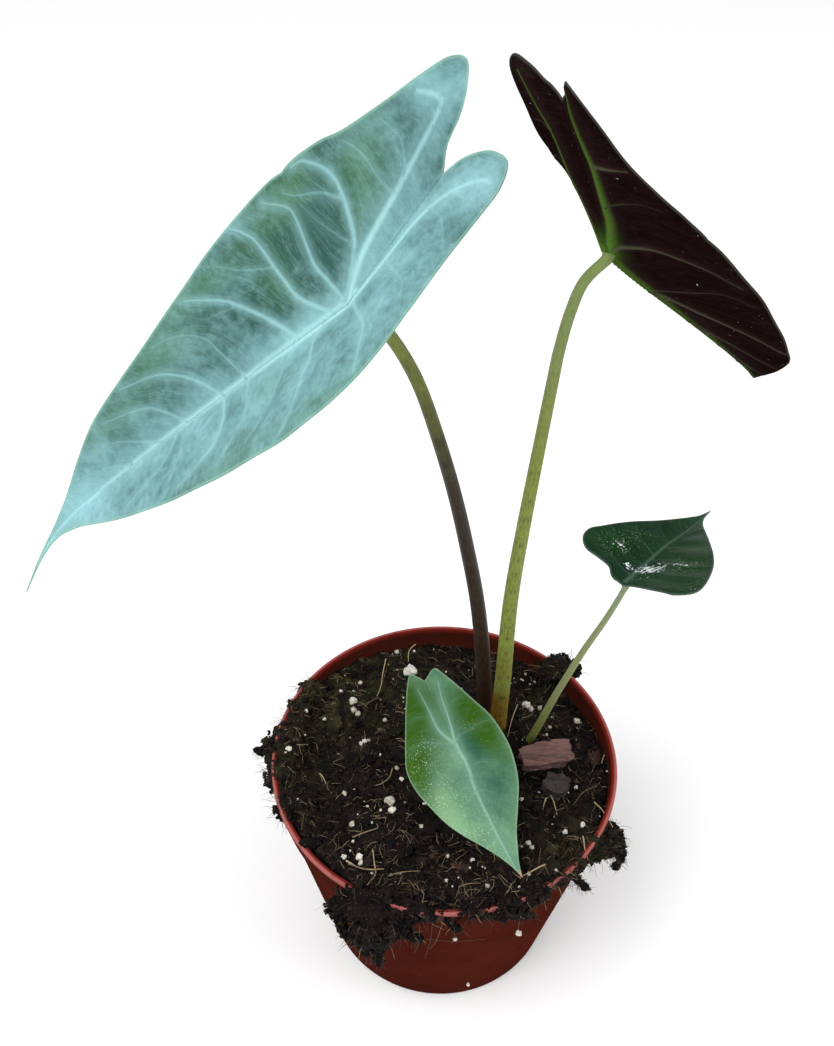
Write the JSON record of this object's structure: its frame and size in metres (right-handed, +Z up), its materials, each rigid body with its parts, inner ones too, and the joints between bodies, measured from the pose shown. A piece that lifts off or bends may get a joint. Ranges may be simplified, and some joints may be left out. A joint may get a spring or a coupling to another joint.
{
  "type": "potted alocasia amazonica",
  "caption": "Young alocasia with arrow-shaped, pale-ribbed leaves on bare stalks, in a round plastic nursery pot of peat.",
  "frame": {"origin": "centre of the pot's flat foot, on the surface that it stands on", "axes": "+Z up through the pot's axis; +X to the right and +Y away from the viewer in the picture's view"},
  "size_m": [0.2055, 0.1245, 0.3475],
  "materials": {
    "pot": "moulded red-brown plastic, dull on the wall and brighter on the rim",
    "soil": "moist dark peat with fibres, moss and white perlite",
    "corm": "brown papery tuber skin",
    "petiole": "smooth green stalk, mottled brown towards its foot",
    "blade_silver": "silvery blue-green blade with pale ribs, satin",
    "blade_underside": "near-black purple underside with green ribs",
    "blade_green": "glossy dark green blade with pale ribs",
    "bark": "reddish brown bark",
    "bark_dark": "nearly black bark"
  },
  "bodies": {
    "root": {"pot": "pot", "soil": "soil", "corm": "corm", "petiole_left": "petiole", "petiole_right": "petiole", "petiole_small_right": "petiole", "petiole_front": "petiole", "blade_left": "blade_silver", "blade_right": "blade_underside", "blade_small_right": "blade_green", "blade_front": "blade_green", "bark_chip": "bark", "bark_chip_dark": "bark_dark"}
  },
  "joints": []
}
